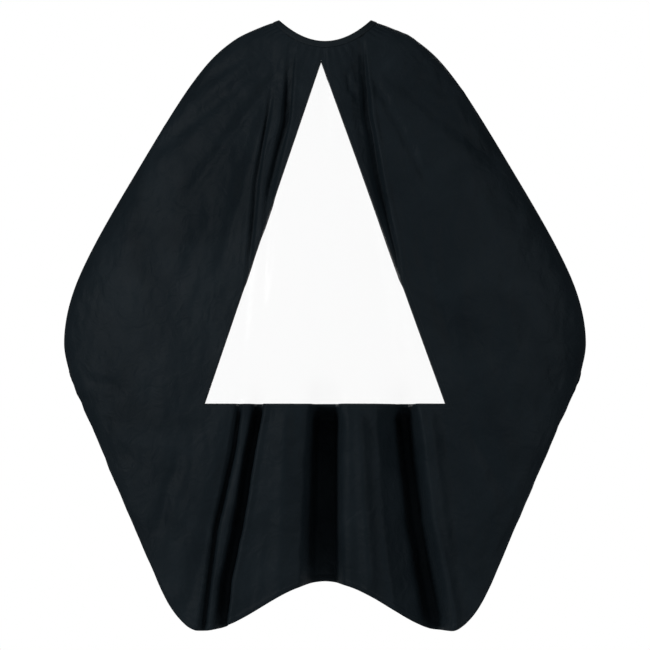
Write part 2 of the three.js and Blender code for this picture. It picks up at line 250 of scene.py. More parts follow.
def smooth_max(a, b, rounding):
    near = np.maximum(rounding - np.abs(a - b), 0) / rounding
    return np.maximum(a, b) + near * near * rounding / 4


def hem_height(x, at_front):
    across = np.minimum(np.abs(x) / LOBE_X, 1)
    wave = -HEIGHT + HEM_RISE * (1 + np.cos(np.pi * across)) / 2
    side_hem = SIDE_CORNER_Z - SIDE_HEM_SLOPE * (SIDE_CORNER_X - np.abs(x))
    front = smooth_max(wave, side_hem, CORNER_ROUNDING)
    slit_x = SIDE_CORNER_X * math.sin(SLIT_PHI)
    share = np.maximum((np.abs(x) - slit_x) / (SIDE_CORNER_X - slit_x), 0)
    back = mix(-NECK_DIP - SLIT_LENGTH, SIDE_CORNER_Z, share)
    return np.where(at_front, front, back)


def stack(x, y, z):
    return np.stack(np.broadcast_arrays(x, y, z), axis=-1)


# %% [markdown]
# A rib is the line that the cloth takes from the neck to the hem. In front it falls forward
# over the chest and then down. Behind the hinge line it is straight, because a back flap can
# only swing cleanly about a straight line. That line leaves the neck just in front of the
# last snap, so the row of snaps gives its angle.

# %% The neck edge and the hinge line
FIRST_SNAP = 0.018
SNAP_PITCH = 0.016
STUDS = 5
SOCKETS = 2
LAST_STUD_MARGIN = 0.010


def neck_edge(phi):
    sine, cosine = np.sin(phi), np.cos(phi)
    return stack(NECK_HALF_WIDTH * sine, -NECK_HALF_DEPTH * cosine, -NECK_DIP * cosine**2)


BACK_ANGLES = np.linspace(math.pi, math.radians(60), 2401)
BACK_STEPS = np.linalg.norm(np.diff(neck_edge(BACK_ANGLES), axis=0), axis=1)
BACK_ARCS = np.concatenate([[0], np.cumsum(BACK_STEPS)])


def phi_from_back(distance):
    """The angle at a distance along the neck from the middle of the back, positive to +X."""
    phi = np.interp(abs(distance), BACK_ARCS, BACK_ANGLES)
    return float(phi if distance >= 0 else 2 * math.pi - phi)


HINGE_PHI = phi_from_back(FIRST_SNAP + (STUDS - 1) * SNAP_PITCH + LAST_STUD_MARGIN)
print("hinge line at", round(math.degrees(HINGE_PHI), 2), "degrees")

# %% Ribs and normals

def rib(phi, v):
    phi = np.asarray(phi, float)
    v = np.asarray(v, float)
    fold = side_fold(v)
    down = fold[..., 1] / SIDE_CORNER_Z
    out = (fold[..., 0] - NECK_HALF_WIDTH) / (SIDE_CORNER_X - NECK_HALF_WIDTH)
    forward = 1 - (1 - down) ** 3
    straight = smoothstep(np.abs(phi), math.pi / 2, HINGE_PHI)
    start = neck_edge(phi)
    cosine = np.cos(phi)
    hem_x = SIDE_CORNER_X * np.sin(phi)
    hem_y = -np.where(cosine > 0, FRONT_DEPTH, BACK_DEPTH) * cosine
    return stack(
        mix(start[..., 0], hem_x, mix(out, down, straight)),
        mix(start[..., 1], hem_y, mix(forward, down, straight)),
        mix(start[..., 2], hem_height(hem_x, cosine > 0), down),
    )


def outward(phi, v, shape=rib):
    step = 1e-4
    along = shape(phi, np.minimum(v + step, 1)) - shape(phi, np.maximum(v - step, 0))
    around = shape(phi + step, v) - shape(phi - step, v)
    normal = np.cross(along, around)
    return normal / np.maximum(np.linalg.norm(normal, axis=-1, keepdims=True), 1e-12)


SAMPLES = 400
DOWN_SAMPLES = np.linspace(0, 1, SAMPLES + 1)


def rib_lengths(phi):
    """The distance down the rib at phi to each of DOWN_SAMPLES."""
    points = rib(np.full(SAMPLES + 1, phi), DOWN_SAMPLES)
    steps = np.linalg.norm(np.diff(points, axis=0), axis=1)
    return np.concatenate([[0], np.cumsum(steps)])


def below_neck(phi, distance):
    """v at a distance of cloth below the neck edge."""
    return np.interp(distance, rib_lengths(phi), DOWN_SAMPLES)


def above_hem(phi, distance):
    """v at a distance of cloth above the hem."""
    lengths = rib_lengths(phi)
    return np.interp(lengths[-1] - distance, lengths, DOWN_SAMPLES)


print("front rib", round(rib_lengths(0.0)[-1], 3), "m, side rib", round(rib_lengths(math.pi / 2)[-1], 3))

# %% [markdown]
# ## The window's place
# The film shows where the window is: its box is the window and a margin that lies behind
# the cloth. Fold and film both need the distance to the window's edges, so we measure it
# here once. The tip of the triangle leans a little to the wearer's right.

# %% Window
FILM_OVERLAP = 0.010
TAPE_OVERLAP = 0.012
TIP_ASIDE = 0.009
film_low, film_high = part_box("window_film")
WINDOW_TOP = film_high.z - FILM_OVERLAP
WINDOW_BOTTOM = film_low.z + FILM_OVERLAP
WINDOW_HEIGHT = WINDOW_TOP - WINDOW_BOTTOM
WINDOW_HALF = 0.277
WINDOW_SLANT = WINDOW_HALF / WINDOW_HEIGHT
EDGE_STRETCH = math.hypot(1, WINDOW_SLANT)


def lean(z):
    return -TIP_ASIDE * (z - WINDOW_BOTTOM) / WINDOW_HEIGHT


def outside_window(x, z):
    """How far outside the window's nearest edge a place is, negative inside."""
    half = WINDOW_SLANT * (WINDOW_TOP - z)
    beside = (np.abs(x - lean(z)) - half) / EDGE_STRETCH
    return np.maximum(beside, WINDOW_BOTTOM - z)


def window_corner(side, z_down, margin=0.0):
    """x of the window's left (-1) or right (+1) edge at a height, moved out by a margin."""
    return lean(z_down) + side * (WINDOW_SLANT * (WINDOW_TOP - z_down) + margin * EDGE_STRETCH)


print("window from", round(WINDOW_TOP, 3), "down to", round(WINDOW_BOTTOM, 3))

# %% [markdown]
# ## Folds
# Thin nylon that hangs from a small ring falls into a few long folds, and the deepest start
# under the neckband and widen towards the hem. A fold could be sculpted by hand. A formula
# is easier to adjust: each fold is a groove with a path down the front, a width and a depth,
# a sharp lip on one side and a soft one on the other.

# %% Fold shapes
FRONT_FOLDS = [
    # path: (x, z) from the top down; how far its left and right walls reach at the top and
    # at the hem; depth at the hem; share of it near the neck; how sharp each wall is (0 to 1)
    {"path": [(-0.078, -0.062), (-0.092, -0.230), (-0.128, -0.384), (-0.157, -0.890), (-0.176, -0.990),
              (-0.202, -1.150), (-0.228, -1.280), (-0.242, -1.380)],
     "left": (0.012, 0.016), "right": (0.014, 0.020), "depth": 0.062, "top": 0.34,
     "walls": (0.3, 0.7)},
    {"path": [(-0.120, -0.150), (-0.160, -0.384), (-0.198, -0.890), (-0.214, -0.990), (-0.249, -1.150),
              (-0.283, -1.396)],
     "left": (0.008, 0.011), "right": (0.009, 0.012), "depth": 0.028, "top": 0.45,
     "walls": (0.5, 0.3)},
    {"path": [(-0.004, -0.064), (0.000, -0.600), (0.000, -0.886), (-0.008, -1.300)],
     "left": (0.010, 0.056), "right": (0.010, 0.052), "depth": 0.130, "top": 0.10,
     "walls": (0.45, 0.9)},
    {"path": [(0.082, -0.045), (0.096, -0.218), (0.124, -0.391), (0.152, -0.534), (0.186, -0.890),
              (0.214, -1.150), (0.238, -1.277), (0.254, -1.368)],
     "left": (0.010, 0.036), "right": (0.011, 0.032), "depth": 0.105, "top": 0.23,
     "walls": (0.05, 0.9)},
]
SOFT_FOLDS = [
    # path, half width, depth: the shallow rolls between and beside the deep folds
    {"path": [(-0.085, -0.870), (-0.110, -1.35)], "half": 0.022, "depth": -0.012},
    {"path": [(0.072, -0.870), (0.105, -1.33)], "half": 0.022, "depth": -0.020},
    {"path": [(0.232, -0.870), (0.296, -1.36)], "half": 0.018, "depth": -0.012},
    {"path": [(-0.205, -0.95), (-0.320, -1.36)], "half": 0.020, "depth": 0.010},
    {"path": [(0.052, -0.115), (0.060, -0.170)], "half": 0.008, "depth": 0.006},
    {"path": [(0.332, -0.940), (0.430, -1.110)], "half": 0.016, "depth": 0.005},
    {"path": [(-0.115, -0.075), (-0.430, -0.330)], "half": 0.018, "depth": 0.008},
    {"path": [(-0.105, -0.110), (-0.330, -0.420)], "half": 0.014, "depth": 0.007},
    {"path": [(-0.150, -0.060), (-0.420, -0.230)], "half": 0.014, "depth": 0.005},
    {"path": [(-0.115, -0.140), (-0.240, -0.560)], "half": 0.016, "depth": 0.007},
    {"path": [(0.105, -0.085), (0.400, -0.330)], "half": 0.018, "depth": 0.006},
    {"path": [(0.100, -0.110), (0.240, -0.380)], "half": 0.012, "depth": 0.006},
    {"path": [(0.215, -0.520), (0.300, -0.760)], "half": 0.016, "depth": 0.005},
    {"path": [(-0.540, -0.830), (-0.470, -0.838)], "half": 0.010, "depth": 0.006},
    {"path": [(-0.500, -1.000), (-0.440, -0.995)], "half": 0.010, "depth": 0.006},
    {"path": [(-0.330, -0.980), (-0.390, -1.180)], "half": 0.014, "depth": 0.005},
    {"path": [(-0.270, -0.450), (-0.345, -0.640)], "half": 0.018, "depth": 0.004},
]


def wall(distance, sharpness):
    """1 in the middle of a groove and 0 at its lip; a sharp wall is steep."""
    start = mix(0.0, 0.75, sharpness)
    return 1 - smoothstep(np.abs(distance), start, 1.0)


SHELF = 0.80
SHELF_REACH = 2.6
LIP_SHARE = 0.09


def groove(x, z, fold):
    path = np.array(fold["path"])
    centre = np.interp(-z, -path[:, 1], path[:, 0])
    down = np.clip((path[0, 1] - z) / (path[0, 1] - path[-1, 1]), 0, 1)
    sides = []
    for reach, sharpness in zip((fold["left"], fold["right"]), fold["walls"]):
        distance = np.abs(x - centre) / mix(reach[0], reach[1], down)
        lip = np.exp(-((distance - 1.3) / 0.3) ** 2)
        shelf = np.clip(1 - distance / SHELF_REACH, 0, 1)
        steep = wall(distance, sharpness) - LIP_SHARE * sharpness * lip
        sides.append(mix(steep, shelf, SHELF * (1 - sharpness) ** 3))
    depth = np.where(x < centre, sides[0], sides[1])
    grown = mix(fold["top"], 1.0, smoothstep(down, 0.45, 0.63)) * smoothstep(down, -0.02, 0.10)
    return fold["depth"] * grown * depth


def soft_groove(x, z, fold):
    """A shallow roll along a straight path that fades out at its two ends."""
    (x0, z0), (x1, z1) = fold["path"]
    length = math.hypot(x1 - x0, z1 - z0)
    along = ((x - x0) * (x1 - x0) + (z - z0) * (z1 - z0)) / length**2
    beside = ((x - x0) * (z1 - z0) - (z - z0) * (x1 - x0)) / length
    ends = smoothstep(along, -0.15, 0.2) * (1 - smoothstep(along, 0.8, 1.15))
    return fold["depth"] * ends * np.exp(-((beside / fold["half"]) ** 2))


WINDOW_STIFFNESS = 0.40
EDGE_REACH = 0.030
FILM_REACH = 0.080


def fold_depth(x, z):
    """How far the cloth in front is folded in. The sewn edge of the window holds it flatter."""
    deep = sum(groove(x, z, fold) for fold in FRONT_FOLDS)
    soft = sum(soft_groove(x, z, fold) for fold in SOFT_FOLDS)
    away = outside_window(x, z)
    beside = mix(WINDOW_STIFFNESS, 1.0, smoothstep(away, 0, EDGE_REACH))
    inside = 1 - smoothstep(-away, 0, FILM_REACH)
    return (deep * beside + soft * beside) * inside


# %% [markdown]
# Behind the shoulders the cloth isn't pulled by the window, so it hangs in a row of soft
# flutes, like a short curtain. They die out at the hinge line, so that a flap can swing
# about it, and at the side folds, which keep the cape's outline.

# %% Flutes, gathers and wrinkles
FLUTES = 7
FLUTE_DEPTH = 0.009
GATHERS = 46
GATHER_DEPTH = 0.0007
GATHER_REACH = 0.075
WRINKLE_SIZE = 0.085
WRINKLE_DEPTH = 0.0034
OUTLINE_KEEP = math.radians(7)


def wrinkles(points, size, seed):
    """Smooth noise from -1 to 1, stretched along the way the cloth hangs."""
    flat = points.reshape(-1, 3)
    stretch = np.array((1 / size, 1 / size, 0.45 / size))
    values = [noise.fractal(Vector(p * stretch + seed), 0.9, 2.1, 4) for p in flat]
    return np.array(values).reshape(points.shape[:-1])


def relief(phi, v):
    """How far the cloth stands out from the plain surface, along its normal."""
    points = rib(phi, v)
    x, z = points[..., 0], points[..., 2]
    turn = np.abs(phi)
    facing = smoothstep(np.cos(phi), 0.0, 0.35)
    folds = -fold_depth(x, z) * facing

    past_hinge = (turn - HINGE_PHI) / (SLIT_PHI - HINGE_PHI)
    before_hinge = (HINGE_PHI - turn) / (HINGE_PHI - math.pi / 2)
    waves = np.where(past_hinge > 0, past_hinge, before_hinge)
    behind = smoothstep(turn, math.pi / 2, math.radians(100)) * smoothstep(waves, 0, 0.25)
    flutes = FLUTE_DEPTH * behind * v * np.sin(FLUTES * turn) * (1 - smoothstep(past_hinge, 0.9, 1))

    down = np.linalg.norm(points - rib(phi, np.zeros_like(v)), axis=-1)
    gathers = GATHER_DEPTH * np.sin(GATHERS * phi + 2 * np.sin(5 * phi))
    gathers = gathers * smoothstep(down, 0.012, 0.022) * (1 - smoothstep(down, 0.025, GATHER_REACH))

    away = outside_window(x, z)
    free = np.where(np.cos(phi) > 0, smoothstep(away, 0.004, 0.06), 1.0)
    free = free * smoothstep(down, 0.015, 0.09)
    free = free * smoothstep(np.abs(turn - math.pi / 2), 0, OUTLINE_KEEP)
    free = free * smoothstep(np.abs(turn - HINGE_PHI), 0, math.radians(5))
    crumple = WRINKLE_DEPTH * wrinkles(points, WRINKLE_SIZE, 3.7)
    crumple = crumple + 0.35 * WRINKLE_DEPTH * wrinkles(points, 0.3 * WRINKLE_SIZE, 9.1)
    return folds + flutes + gathers + crumple * free


def folded_at(phi, v, lift=0.0):
    """The cloth with its folds, and a lift along the plain normal."""
    phi, v = np.broadcast_arrays(np.asarray(phi, float), np.asarray(v, float))
    stand = relief(phi, v) + lift
    return rib(phi, v) + outward(phi, v) * stand[..., None]


# %% [markdown]
# ## Letting the cloth settle
# Formulas give folds that are too tidy. A short cloth simulation lets gravity pull the nylon
# into small buckles of its own. It runs on a coarse grid of the whole cape, which is a little
# larger than its place, so it has to buckle. The neck, the hinge lines, the window's edge and
# the outline are pinned, so the cape keeps its size. What the simulation moved is kept as a
# field over phi and v, and everything sewn to the cloth asks the same field.

# %% Settle
SETTLE_COLUMNS = 181
SETTLE_ROWS = 81
SETTLE_FRAMES = 22
SETTLE_GROWTH = -0.022
SETTLE_LIMIT = 0.0065
SETTLE_BLUR = 3
settle_phi = np.linspace(-SLIT_PHI, SLIT_PHI, SETTLE_COLUMNS)
settle_v = np.linspace(0.012, 1.0, SETTLE_ROWS)


def held_share(phi, v, points):
    """How firmly each place is held, from 0 to 1."""
    turn = np.abs(phi)
    neck = 1 - smoothstep(v, 0.012, 0.05)
    outline = 1 - smoothstep(np.abs(turn - math.pi / 2), math.radians(3), math.radians(12))
    hinge = 1 - smoothstep(np.abs(turn - HINGE_PHI), math.radians(1.5), math.radians(8))
    slit = smoothstep(turn, SLIT_PHI - math.radians(5), SLIT_PHI)
    hem = 0.8 * smoothstep(v, 0.965, 1.0)
    away = outside_window(points[..., 0], points[..., 2])
    window = np.where(np.cos(phi) > 0, 1 - smoothstep(away, 0.005, 0.05), 0.0)
    return np.max(np.stack([neck, outline, hinge, slit, hem, window]), axis=0)


def settle():
    """How far the simulation moves each place of the coarse grid."""
    phi, v = np.meshgrid(settle_phi, settle_v, indexing="ij")
    start = folded_at(phi, v)
    held = held_share(phi, v, start)
    mesh = bpy.data.meshes.new("settling")
    faces = grid_faces(SETTLE_COLUMNS, SETTLE_ROWS)
    mesh.from_pydata([tuple(p) for p in start.reshape(-1, 3)], [], faces)
    cloth = bpy.data.objects.new("settling", mesh)
    bpy.context.scene.collection.objects.link(cloth)
    group = cloth.vertex_groups.new(name="held")
    for index, share in enumerate(held.ravel()):
        group.add([index], float(0.35 + 0.65 * share), "REPLACE")
    settings = cloth.modifiers.new("cloth", "CLOTH").settings
    settings.quality = 5
    settings.mass = 0.12
    settings.tension_stiffness = 12
    settings.compression_stiffness = 12
    settings.shear_stiffness = 4
    settings.bending_stiffness = 0.02
    settings.air_damping = 3
    settings.vertex_group_mass = "held"
    settings.shrink_min = SETTLE_GROWTH
    scene = bpy.context.scene
    for step in range(1, SETTLE_FRAMES + 1):
        scene.frame_set(step)
    graph = bpy.context.evaluated_depsgraph_get()
    settled = np.empty(len(mesh.vertices) * 3)
    cloth.evaluated_get(graph).data.vertices.foreach_get("co", settled)
    scene.frame_set(1)
    bpy.data.objects.remove(cloth)
    moved = settled.reshape(start.shape) - start
    length = np.linalg.norm(moved, axis=-1, keepdims=True)
    moved *= np.minimum(SETTLE_LIMIT / np.maximum(length, 1e-9), 1)
    for _ in range(SETTLE_BLUR):
        inner = moved[1:-1, 1:-1]
        around = moved[:-2, 1:-1] + moved[2:, 1:-1] + moved[1:-1, :-2] + moved[1:-1, 2:]
        moved[1:-1, 1:-1] = mix(inner, around / 4, 0.6)
    moved *= (1 - smoothstep(held, 0.3, 1.0))[..., None]
    print("settled by up to", round(float(np.linalg.norm(moved, axis=-1).max()) * 1000, 1), "mm,",
          "mean", round(float(np.linalg.norm(moved, axis=-1).mean()) * 1000, 2), "mm")
    return moved


def grid_faces(columns, rows):
    first = [c * rows + r for c in range(columns - 1) for r in range(rows - 1)]
    return [(i, i + 1, i + rows + 1, i + rows) for i in first]


settled_field = settle()


def settled_at(phi, v):
    """The settled field between the places of its grid."""
    column = np.clip((phi - settle_phi[0]) / (settle_phi[1] - settle_phi[0]), 0, SETTLE_COLUMNS - 1.001)
    row = np.clip((v - settle_v[0]) / (settle_v[1] - settle_v[0]), 0, SETTLE_ROWS - 1.001)
    c, r = column.astype(int), row.astype(int)
    right, down = (column - c)[..., None], (row - r)[..., None]
    right, down = (t * t * (3 - 2 * t) for t in (right, down))
    upper = mix(settled_field[c, r], settled_field[c + 1, r], right)
    lower = mix(settled_field[c, r + 1], settled_field[c + 1, r + 1], right)
    return mix(upper, lower, down)


HEM_WIDTH = 0.014
HEM_LIFT = 0.0006


def cloth_at(phi, v, lift=0.0):
    """The finished cloth's place: its folds, what it settled by, and a lift."""
    phi, v = np.broadcast_arrays(np.asarray(phi, float), np.asarray(v, float))
    return folded_at(phi, v, lift) + settled_at(phi, v)


# %% [markdown]
# ## From the surface to meshes
# A sheet is a grid of points joined into four-sided faces. Its UV map holds real lengths,
# across and down the cloth, so that a weave keeps its thread spacing. `thicken` gives the
# sheet its two faces and its rim with the Solidify modifier, applied at once.

# %% Mesh helpers
def new_object(name, vertices, faces, finish):
    mesh = bpy.data.meshes.new(name)
    mesh.from_pydata([tuple(p) for p in vertices], [], faces)
    mesh.materials.append(finish)
    for polygon in mesh.polygons:
        polygon.use_smooth = True
    mesh.update()
    piece = bpy.data.objects.new(name, mesh)
    bpy.context.scene.collection.objects.link(piece)
    return piece


def cloth_lengths(points):
    """For each point of a grid, the distance across from its first column and down."""
    across = np.linalg.norm(np.diff(points, axis=0), axis=-1)
    down = np.linalg.norm(np.diff(points, axis=1), axis=-1)
    across = np.concatenate([np.zeros((1, points.shape[1])), np.cumsum(across, axis=0)])
    down = np.concatenate([np.zeros((points.shape[0], 1)), np.cumsum(down, axis=1)], axis=1)
    middle = across[len(across) // 2]
    return np.stack([across - middle, down], axis=-1)


def grid_sheet(name, points, finish):
    """A one-layer sheet from an array of points: columns, rows, xyz."""
    columns, rows = points.shape[:2]
    piece = new_object(name, points.reshape(-1, 3), grid_faces(columns, rows), finish)
    lengths = cloth_lengths(points).reshape(-1, 2)
    layer = piece.data.uv_layers.new(name="threads")
    corners = np.empty(len(piece.data.loops), np.int32)
    piece.data.loops.foreach_get("vertex_index", corners)
    layer.data.foreach_set("uv", lengths[corners].astype(np.float32).ravel())
    return piece


def apply_modifiers(piece):
    graph = bpy.context.evaluated_depsgraph_get()
    mesh = bpy.data.meshes.new_from_object(piece.evaluated_get(graph))
    piece.modifiers.clear()
    piece.data = mesh
    return piece


def thicken(piece, thickness, offset=0.0):
    solid = piece.modifiers.new("thickness", "SOLIDIFY")
    solid.thickness = thickness
    solid.offset = offset
    return apply_modifiers(piece)


def columns_at(phi_list, places):
    """Two arrays, phi and v, for ribs at the angles and places(phi) down each."""
    down = np.array([places(phi) for phi in phi_list])
    around = np.repeat(np.array(phi_list)[:, None], down.shape[1], axis=1)
    return around, down


# %% [markdown]
# ## Finishes
# ### Black nylon
# Salon nylon is a tight plain weave with a faint sheen, and it isn't an even black: it has
# cooler and paler patches where it was creased. Two wave textures on the UV map make the
# warp and the weft, and noise makes the patches and the fine creasing. Values that are the
# same everywhere go straight on the shader's sockets.

# %% Node helpers
def new_material(name, roughness, metallic=0.0, specular=0.5):
    material = bpy.data.materials.new(name)
    material.use_nodes = True
    shader = material.node_tree.nodes["Principled BSDF"]
    shader.inputs["Roughness"].default_value = roughness
    shader.inputs["Metallic"].default_value = metallic
    shader.inputs["Specular IOR Level"].default_value = specular
    return material, shader, material.node_tree.nodes, material.node_tree.links


def noise_node(nodes, links, source, scale, detail=4.0, distortion=0.0):
    node = nodes.new("ShaderNodeTexNoise")
    node.inputs["Scale"].default_value = scale
    node.inputs["Detail"].default_value = detail
    node.inputs["Distortion"].default_value = distortion
    links.new(source, node.inputs["Vector"])
    return node.outputs["Fac"]


def ramp_node(nodes, links, value, stops):
    node = nodes.new("ShaderNodeValToRGB")
    node.color_ramp.elements[0].position = stops[0][0]
    node.color_ramp.elements[0].color = (*stops[0][1], 1)
    node.color_ramp.elements[1].position = stops[-1][0]
    node.color_ramp.elements[1].color = (*stops[-1][1], 1)
    for position, colour in stops[1:-1]:
        node.color_ramp.elements.new(position).color = (*colour, 1)
    links.new(value, node.inputs["Fac"])
    return node.outputs["Color"]


def range_node(nodes, links, value, low, high):
    node = nodes.new("ShaderNodeMapRange")
    node.inputs["To Min"].default_value = low
    node.inputs["To Max"].default_value = high
    links.new(value, node.inputs["Value"])
    return node.outputs["Result"]


def bump_node(nodes, links, height, distance, strength=1.0, normal=None):
    node = nodes.new("ShaderNodeBump")
    node.inputs["Distance"].default_value = distance
    node.inputs["Strength"].default_value = strength
    links.new(height, node.inputs["Height"])
    if normal is not None:
        links.new(normal, node.inputs["Normal"])
    return node.outputs["Normal"]


WAVE_RATE = 20 / (2 * math.pi)


def weave_node(nodes, links, pitch):
    """The height of a plain weave with this distance between two threads the same way."""
    threads = nodes.new("ShaderNodeUVMap")
    threads.uv_map = "threads"
    heights = []
    for direction in ("X", "Y"):
        wave = nodes.new("ShaderNodeTexWave")
        wave.bands_direction = direction
        wave.inputs["Scale"].default_value = 1 / (pitch * WAVE_RATE)
        wave.inputs["Distortion"].default_value = 0.6
        wave.inputs["Detail Scale"].default_value = 2.0
        links.new(threads.outputs["UV"], wave.inputs["Vector"])
        heights.append(wave.outputs["Fac"])
    product = nodes.new("ShaderNodeMath")
    product.operation = "MULTIPLY"
    links.new(heights[0], product.inputs[0])
    links.new(heights[1], product.inputs[1])
    return product.outputs["Value"]


# %% Black nylon
def make_nylon(name, darkest, palest, pitch=0.0005):
    material, shader, nodes, links = new_material(name, 0.5, specular=0.06)
    place = nodes.new("ShaderNodeTexCoord").outputs["Object"]
    patches = noise_node(nodes, links, place, 5.5, detail=6.0, distortion=0.8)
    colour = ramp_node(nodes, links, patches, [(0.30, darkest), (0.72, palest)])
    links.new(colour, shader.inputs["Base Color"])
    gloss = noise_node(nodes, links, place, 14.0)
    links.new(range_node(nodes, links, gloss, 0.44, 0.60), shader.inputs["Roughness"])
    shader.inputs["Sheen Weight"].default_value = 0.012
    shader.inputs["Sheen Roughness"].default_value = 0.45
    shader.inputs["Sheen Tint"].default_value = (0.6, 0.75, 0.9, 1)
    creases = noise_node(nodes, links, place, 26.0, detail=7.0, distortion=1.4)
    creased = bump_node(nodes, links, creases, 0.0040, 0.75)
    woven = bump_node(nodes, links, weave_node(nodes, links, pitch), 0.00006, 0.6, creased)
    links.new(woven, shader.inputs["Normal"])
    return material


NYLON = make_nylon("nylon", (0.0066, 0.0108, 0.0143), (0.0112, 0.0170, 0.0217))
BAND_NYLON = make_nylon("band_nylon", (0.0068, 0.0105, 0.0132), (0.0135, 0.0196, 0.0240))

# %% [markdown]
# ### The other finishes
# The film is soft vinyl: almost all light goes through, and what comes back is a sharp
# reflection with slight waves. Tape and label are coarser weaves. The grip strip is matte
# rubber with a fine stipple. The snaps are lacquered, with brass showing where they rub.

# %% Film, tape, rubber, label
def make_film():
    material, shader, nodes, links = new_material("clear_film", 0.08, specular=0.5)
    place = nodes.new("ShaderNodeTexCoord").outputs["Object"]
    haze = noise_node(nodes, links, place, 9.0, detail=5.0)
    colour = ramp_node(nodes, links, haze, [(0.3, (0.93, 0.96, 0.97)), (0.7, (0.98, 0.99, 1.0))])
    links.new(colour, shader.inputs["Base Color"])
    links.new(range_node(nodes, links, haze, 0.05, 0.16), shader.inputs["Roughness"])
    shader.inputs["Alpha"].default_value = 0.05
    shader.inputs["Coat Weight"].default_value = 0.3
    waves = noise_node(nodes, links, place, 6.0, detail=2.0)
    links.new(bump_node(nodes, links, waves, 0.004, 0.3), shader.inputs["Normal"])
    return material


def make_tape(name, dark, pale, pitch, roughness):
    material, shader, nodes, links = new_material(name, roughness, specular=0.25)
    place = nodes.new("ShaderNodeTexCoord").outputs["Object"]
    fuzz = noise_node(nodes, links, place, 400.0, detail=6.0)
    links.new(ramp_node(nodes, links, fuzz, [(0.3, dark), (0.7, pale)]), shader.inputs["Base Color"])
    links.new(range_node(nodes, links, fuzz, roughness - 0.08, roughness + 0.08), shader.inputs["Roughness"])
    woven = bump_node(nodes, links, weave_node(nodes, links, pitch), 0.0002, 0.8)
    links.new(bump_node(nodes, links, fuzz, 0.0001, 0.5, woven), shader.inputs["Normal"])
    return material


def make_rubber():
    material, shader, nodes, links = new_material("grip_rubber", 0.82, specular=0.3)
    place = nodes.new("ShaderNodeTexCoord").outputs["Object"]
    dust = noise_node(nodes, links, place, 60.0)
    colour = ramp_node(nodes, links, dust, [(0.3, (0.010, 0.010, 0.011)), (0.75, (0.020, 0.020, 0.021))])
    links.new(colour, shader.inputs["Base Color"])
    stipple = nodes.new("ShaderNodeTexVoronoi")
    stipple.inputs["Scale"].default_value = 900.0
    links.new(place, stipple.inputs["Vector"])
    links.new(bump_node(nodes, links, stipple.outputs["Distance"], 0.0003, 0.6), shader.inputs["Normal"])
    links.new(range_node(nodes, links, dust, 0.74, 0.9), shader.inputs["Roughness"])
    return material


FILM = make_film()
TAPE = make_tape("binding_tape", (0.006, 0.008, 0.010), (0.013, 0.016, 0.019), 0.0009, 0.72)
LABEL = make_tape("label_cloth", (0.70, 0.69, 0.65), (0.86, 0.85, 0.81), 0.0006, 0.6)
THREAD = make_tape("sewing_thread", (0.010, 0.014, 0.018), (0.030, 0.038, 0.045), 0.0004, 0.55)
RUBBER = make_rubber()

# %% Metals
def make_metal(name, lacquer, bare, worn, roughness):
    """Lacquer over metal: noise lets a little bare metal through where it is worn."""
    material, shader, nodes, links = new_material(name, roughness, metallic=0.9)
    place = nodes.new("ShaderNodeTexCoord").outputs["Object"]
    rubbed = noise_node(nodes, links, place, 240.0, detail=8.0, distortion=0.5)
    stops = [(worn, lacquer), (worn + 0.07, bare)]
    links.new(ramp_node(nodes, links, rubbed, stops), shader.inputs["Base Color"])
    links.new(range_node(nodes, links, rubbed, roughness - 0.1, roughness + 0.15), shader.inputs["Roughness"])
    scratches = noise_node(nodes, links, place, 1500.0, detail=3.0)
    links.new(bump_node(nodes, links, scratches, 0.00003, 0.4), shader.inputs["Normal"])
    return material


SNAP = make_metal("snap_metal", (0.022, 0.024, 0.027), (0.30, 0.24, 0.14), 0.66, 0.34)
POST = make_metal("post_metal", (0.50, 0.51, 0.53), (0.62, 0.60, 0.55), 0.60, 0.30)
print("finishes", [m.name for m in bpy.data.materials])

# %% [markdown]
# ## The cloth
# The real cape is one cut of nylon. Its two back flaps have to swing, so the cloth is made
# as a front piece that stays and two flap pieces, which meet on the hinge lines. The join
# shows only as a faint ridge. The grid is finer in front, where the folds are.

# %% Grids
FRONT_STEP = math.radians(0.45)
SIDE_STEP = math.radians(1.1)
FRONT_REACH = math.radians(42)
ROWS = 190


def angles(start, end, step):
    return np.linspace(start, end, max(round(abs(end - start) / step), 1) + 1)


side_angles = angles(FRONT_REACH, HINGE_PHI, SIDE_STEP)[1:]
body_angles = np.concatenate([-side_angles[::-1], angles(-FRONT_REACH, FRONT_REACH, FRONT_STEP), side_angles])
flap_angles = angles(HINGE_PHI, SLIT_PHI, SIDE_STEP)
HEM_ROWS = (0.020, 0.0145, 0.0135, 0.007, 0.001, 0.0)


def cloth_rows(phi):
    top = below_neck(phi, BAND_HEIGHT - SEAM_ALLOWANCE)
    hem = [above_hem(phi, distance) for distance in HEM_ROWS]
    return np.concatenate([np.linspace(top, hem[0], ROWS), hem[1:]])


def hem_lift(rows):
    """The turned hem is three layers thick, so it stands a little proud."""
    lift = np.zeros(rows)
    lift[-5:] = (0.0, HEM_LIFT, HEM_LIFT, HEM_LIFT, 0.0)
    return lift


body_phi, body_v = columns_at(body_angles, cloth_rows)
body_points = cloth_at(body_phi, body_v, hem_lift(body_v.shape[1])[None, :])
print("front grid", body_points.shape[:2])

# %% [markdown]
# ### Cutting out the window
# A grid can't follow a slanting edge, so the edge would look like a saw. Instead the cloth is
# sliced along the three edge lines, and the faces inside the triangle are deleted. The
# slices are vertical planes straight through the front, so the edge stays straight seen
# from ahead whatever the folds do.

# %% Cut the window
CLOTH_THICKNESS = 0.0009
body_cloth = grid_sheet("cape_cloth", body_points, NYLON)


